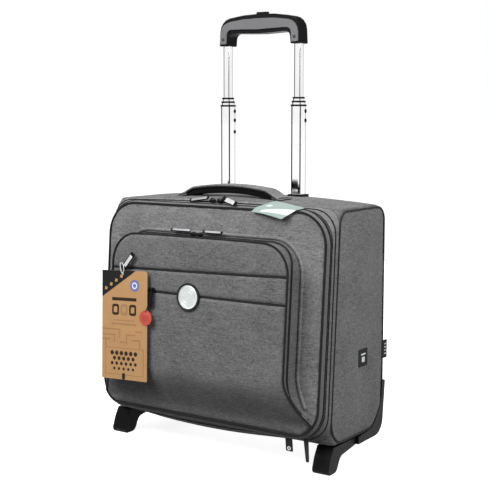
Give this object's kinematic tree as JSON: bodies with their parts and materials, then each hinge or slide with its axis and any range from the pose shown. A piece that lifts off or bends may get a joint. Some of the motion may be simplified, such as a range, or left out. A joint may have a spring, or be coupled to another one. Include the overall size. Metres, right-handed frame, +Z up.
{
  "type": "rolling laptop case",
  "caption": "Upright soft-sided rolling laptop case with a zipped opening lid, front pocket, telescoping trolley handle, carry handle, skid feet and inline wheels.",
  "frame": {"origin": "on the floor under the centre of the whole object's box, as it stands on its two feet and two wheels", "axes": "+Z up, front of the case towards -Y, +X to the right as seen from the front"},
  "size_m": [0.4294, 0.2517, 0.6946],
  "materials": {
    "heather_fabric": "grey melange polyester weave",
    "dark_fabric": "black nylon weave",
    "black_plastic": "moulded, satin",
    "grey_plastic": "moulded, satin",
    "tube_aluminium": "bright anodised",
    "steel": "plain",
    "tyre_rubber": "matt",
    "pull_metal": "satin nickel",
    "kraft_board": "uncoated kraft board with plain dark line art",
    "mint_card": "translucent film",
    "red_card": "printed card"
  },
  "bodies": {
    "case": {"front_frame": "heather_fabric", "top_panel": "heather_fabric", "bottom_panel": "heather_fabric", "side_panel_left": "heather_fabric", "side_panel_right": "heather_fabric", "back_panel": "heather_fabric", "back_board": "black_plastic", "laptop_sleeve": "dark_fabric", "corner_guard_left": "black_plastic", "corner_guard_right": "black_plastic", "skid_foot_left": "black_plastic", "skid_foot_right": "black_plastic", "wheel_axle_left": "steel", "wheel_axle_right": "steel", "guide_tube_left": "tube_aluminium", "guide_tube_right": "tube_aluminium", "top_bezel_left": "black_plastic", "top_bezel_right": "black_plastic", "handle_base": "black_plastic", "carry_handle": "heather_fabric", "side_label": "dark_fabric", "flag_label": "dark_fabric"},
    "wheel_left": {"wheel_hub_left": "grey_plastic", "wheel_tyre_left": "tyre_rubber"},
    "wheel_right": {"wheel_hub_right": "grey_plastic", "wheel_tyre_right": "tyre_rubber"},
    "stage_a": {"tube_a_left": "tube_aluminium", "tube_a_right": "tube_aluminium"},
    "stage_b": {"tube_b_left": "tube_aluminium", "tube_b_right": "tube_aluminium"},
    "stage_c": {"tube_c_left": "tube_aluminium", "tube_c_right": "tube_aluminium"},
    "stage_d": {"tube_d_left": "tube_aluminium", "tube_d_right": "tube_aluminium", "grip_shell": "black_plastic", "grip_insert": "grey_plastic", "button_spring": "steel"},
    "release": {"release_button": "black_plastic", "release_yoke": "steel"},
    "pin_left": {"lock_pin_left": "steel"},
    "pin_right": {"lock_pin_right": "steel"},
    "lid": {"lid_panel": "heather_fabric", "pocket_gusset": "heather_fabric"},
    "pocket": {"pocket_panel": "heather_fabric", "badge": "pull_metal"},
    "main_slide_left": {"main_slider_left": "black_plastic"},
    "main_slide_right": {"main_slider_right": "black_plastic"},
    "main_pull_left": {"main_puller_left": "pull_metal"},
    "main_pull_right": {"main_puller_right": "pull_metal"},
    "pocket_slide_left": {"pocket_slider_left": "black_plastic"},
    "pocket_slide_right": {"pocket_slider_right": "black_plastic"},
    "pocket_pull_left": {"pocket_puller_left": "pull_metal"},
    "pocket_pull_right": {"pocket_puller_right": "pull_metal"},
    "upper_slide": {"upper_slider": "black_plastic"},
    "upper_pull": {"upper_puller": "pull_metal"},
    "kraft_swing": {"kraft_tag": "kraft_board"},
    "lower_slide": {"lower_slider": "black_plastic"},
    "lower_pull": {"lower_puller": "black_plastic", "red_tag": "red_card"},
    "care_flap": {"care_tag": "mint_card"}
  },
  "joints": [
    {"name": "wheel_left_spin", "type": "hinge", "parent": "case", "child": "wheel_left", "pos_m": [-0.156, 0.08075, 0.021], "axis": [1, 0, 0], "continuous": true},
    {"name": "wheel_right_spin", "type": "hinge", "parent": "case", "child": "wheel_right", "pos_m": [0.156, 0.08075, 0.021], "axis": [1, 0, 0], "continuous": true},
    {"name": "trolley_a", "type": "slide", "parent": "case", "child": "stage_a", "axis": [0, 0, 1], "range_m": [-0.145, 0]},
    {"name": "trolley_b", "type": "slide", "parent": "stage_a", "child": "stage_b", "axis": [0, 0, 1], "range_m": [-0.006, 0.129]},
    {"name": "trolley_c", "type": "slide", "parent": "stage_b", "child": "stage_c", "axis": [0, 0, 1], "range_m": [-0.006, 0.129]},
    {"name": "trolley_d", "type": "slide", "parent": "stage_c", "child": "stage_d", "axis": [0, 0, 1], "range_m": [-0.08, 0.055]},
    {"name": "release_press", "type": "slide", "parent": "stage_d", "child": "release", "axis": [0, 0, -1], "range_m": [0, 0.004], "stiffness_N_per_m": 400, "springref_m": -0.004, "deforming": ["button_spring"]},
    {"name": "pin_left_draw", "type": "slide", "parent": "stage_d", "child": "pin_left", "axis": [1, 0, 0], "range_m": [0, 0.002]},
    {"name": "pin_right_draw", "type": "slide", "parent": "stage_d", "child": "pin_right", "axis": [-1, 0, 0], "range_m": [0, 0.002]},
    {"name": "lid_open", "type": "hinge", "parent": "case", "child": "lid", "pos_m": [0, -0.07449, 0.06], "axis": [1, 0, 0], "range_deg": [0, 65]},
    {"name": "pocket_open", "type": "hinge", "parent": "lid", "child": "pocket", "pos_m": [0, -0.08249, 0.063], "axis": [1, 0, 0], "range_deg": [0, 22]},
    {"name": "main_zip_left", "type": "slide", "parent": "case", "child": "main_slide_left", "axis": [-1, 0, 0], "range_m": [0, 0.14]},
    {"name": "main_pull_left_flip", "type": "hinge", "parent": "main_slide_left", "child": "main_pull_left", "pos_m": [-0.0136, -0.04375, 0.401], "axis": [0, 1, 0], "range_deg": [0, 110]},
    {"name": "main_zip_right", "type": "slide", "parent": "case", "child": "main_slide_right", "axis": [1, 0, 0], "range_m": [0, 0.065]},
    {"name": "main_pull_right_flip", "type": "hinge", "parent": "main_slide_right", "child": "main_pull_right", "pos_m": [0.0116, -0.04375, 0.401], "axis": [-0.3746, -0.9272, 0], "range_deg": [0, 110]},
    {"name": "pocket_zip_left", "type": "slide", "parent": "lid", "child": "pocket_slide_left", "axis": [-1, 0, 0], "range_m": [0, 0.08]},
    {"name": "pocket_pull_left_flip", "type": "hinge", "parent": "pocket_slide_left", "child": "pocket_pull_left", "pos_m": [-0.0294, -0.07155, 0.3495], "axis": [0, 1, 0], "range_deg": [0, 110]},
    {"name": "pocket_zip_right", "type": "slide", "parent": "lid", "child": "pocket_slide_right", "axis": [1, 0, 0], "range_m": [0, 0.12]},
    {"name": "pocket_pull_right_flip", "type": "hinge", "parent": "pocket_slide_right", "child": "pocket_pull_right", "pos_m": [-0.0066, -0.07155, 0.3495], "axis": [0, -1, 0], "range_deg": [0, 110]},
    {"name": "upper_zip", "type": "slide", "parent": "pocket", "child": "upper_slide", "axis": [1, 0, 0], "range_m": [0, 0.26]},
    {"name": "upper_pull_flip", "type": "hinge", "parent": "upper_slide", "child": "upper_pull", "pos_m": [-0.1335, -0.10919, 0.291], "axis": [0.7871, -0.0488, -0.6149], "range_deg": [0, 100]},
    {"name": "kraft_tag_swing", "type": "hinge", "parent": "upper_slide", "child": "kraft_swing", "pos_m": [-0.132, -0.11131, 0.287], "axis": [0, 0.9969, -0.0792], "range_deg": [-30, 30]},
    {"name": "lower_zip", "type": "slide", "parent": "pocket", "child": "lower_slide", "axis": [1, 0, 0], "range_m": [0, 0.04]},
    {"name": "lower_pull_swing", "type": "hinge", "parent": "lower_slide", "child": "lower_pull", "pos_m": [-0.08, -0.11205, 0.255], "axis": [0, 0.9969, -0.0792], "range_deg": [-45, 45]},
    {"name": "care_tag_lift", "type": "hinge", "parent": "case", "child": "care_flap", "pos_m": [0.11, -0.03225, 0.402], "axis": [-1, 0, 0], "range_deg": [0, 45]}
  ],
  "couplings": [
    {"joint": "pin_left_draw", "follows": "release_press", "ratio": 0.5},
    {"joint": "pin_right_draw", "follows": "release_press", "ratio": 0.5}
  ]
}
